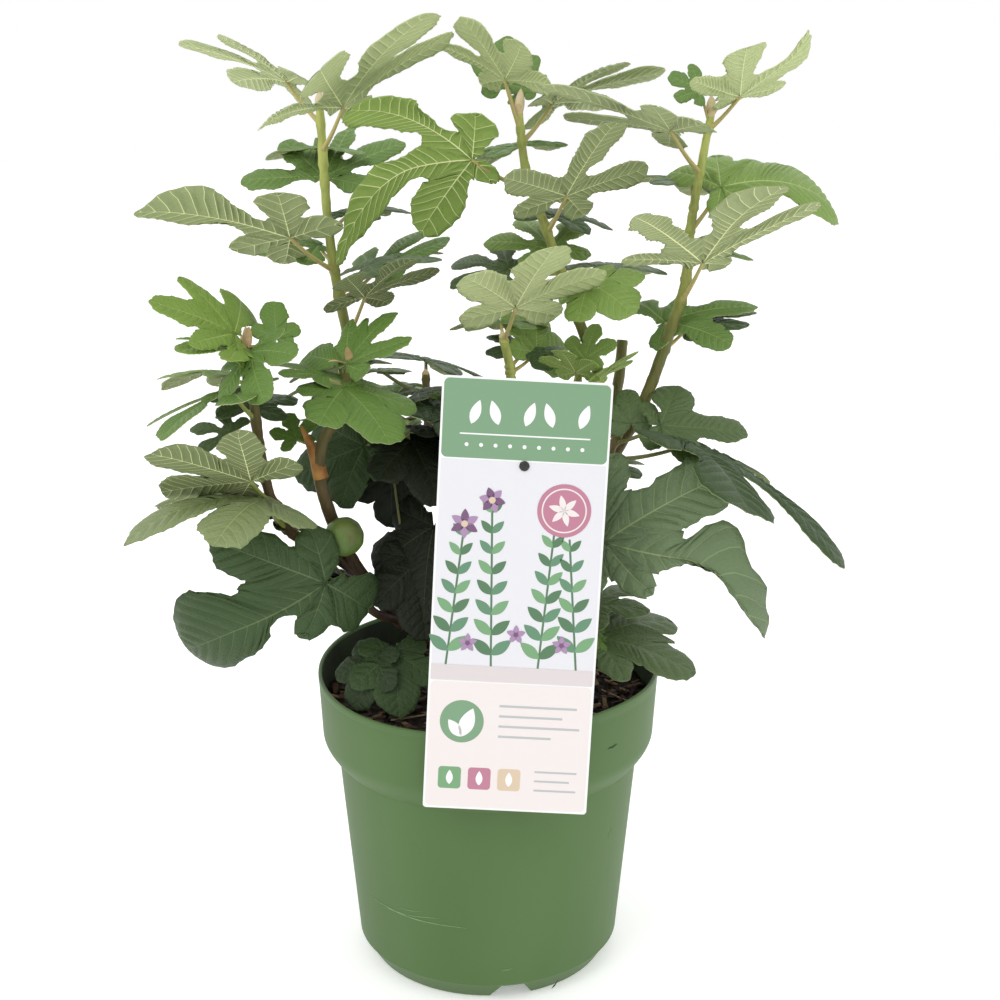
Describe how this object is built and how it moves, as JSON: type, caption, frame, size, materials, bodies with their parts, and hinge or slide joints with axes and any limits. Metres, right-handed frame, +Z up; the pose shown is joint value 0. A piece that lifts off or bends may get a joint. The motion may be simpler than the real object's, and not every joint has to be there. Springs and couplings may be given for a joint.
{
  "type": "potted fig tree",
  "caption": "Young fig tree with lobed leaves on slim stems, in a round green nursery pot with a plain plant card; a small potted plant to stand on a floor or terrace.",
  "frame": {"origin": "at the floor, under the middle of the whole object's box; the pot's axis stands a little to the left of it and in front", "axes": "+Z up, the plant's front and its card face -Y, +X to the right as seen from the front"},
  "size_m": [0.4184, 0.3006, 0.5857],
  "materials": {
    "pot_plastic": "soft satin green plastic",
    "soil": "rough dark potting compost with bark chips",
    "bark": "rough brown bark, green on the young stems",
    "leaves": "matt green leaf, paler underneath",
    "fruit": "smooth unripe green",
    "card": "satin printed card",
    "black_plastic": "satin black"
  },
  "bodies": {
    "root": {"pot": "pot_plastic", "soil": "soil", "trunk": "bark", "bough_left_tall": "bark", "bough_left_low": "bark", "bough_centre": "bark", "bough_right": "bark", "bough_centre_low": "bark", "bough_back_left": "bark", "bough_left_side": "bark", "bough_right_low": "bark", "bough_centre_side": "bark", "bough_back_right": "bark", "bough_cut_stub": "bark", "leaves_left_top": "leaves", "leaves_centre_top": "leaves", "leaves_right_top": "leaves", "leaves_centre_low": "leaves", "leaves_centre_side": "leaves", "leaves_left_crown": "leaves", "leaves_left_front": "leaves", "leaves_low_left": "leaves", "leaves_inner_left": "leaves", "leaves_inner_low": "leaves", "leaves_foot_front": "leaves", "leaves_right_low": "leaves", "leaves_foot_right": "leaves", "leaves_back_left": "leaves", "leaves_back_right": "leaves", "fig_fruit": "fruit", "card": "card", "card_pin": "black_plastic", "card_stick": "black_plastic"}
  },
  "joints": []
}
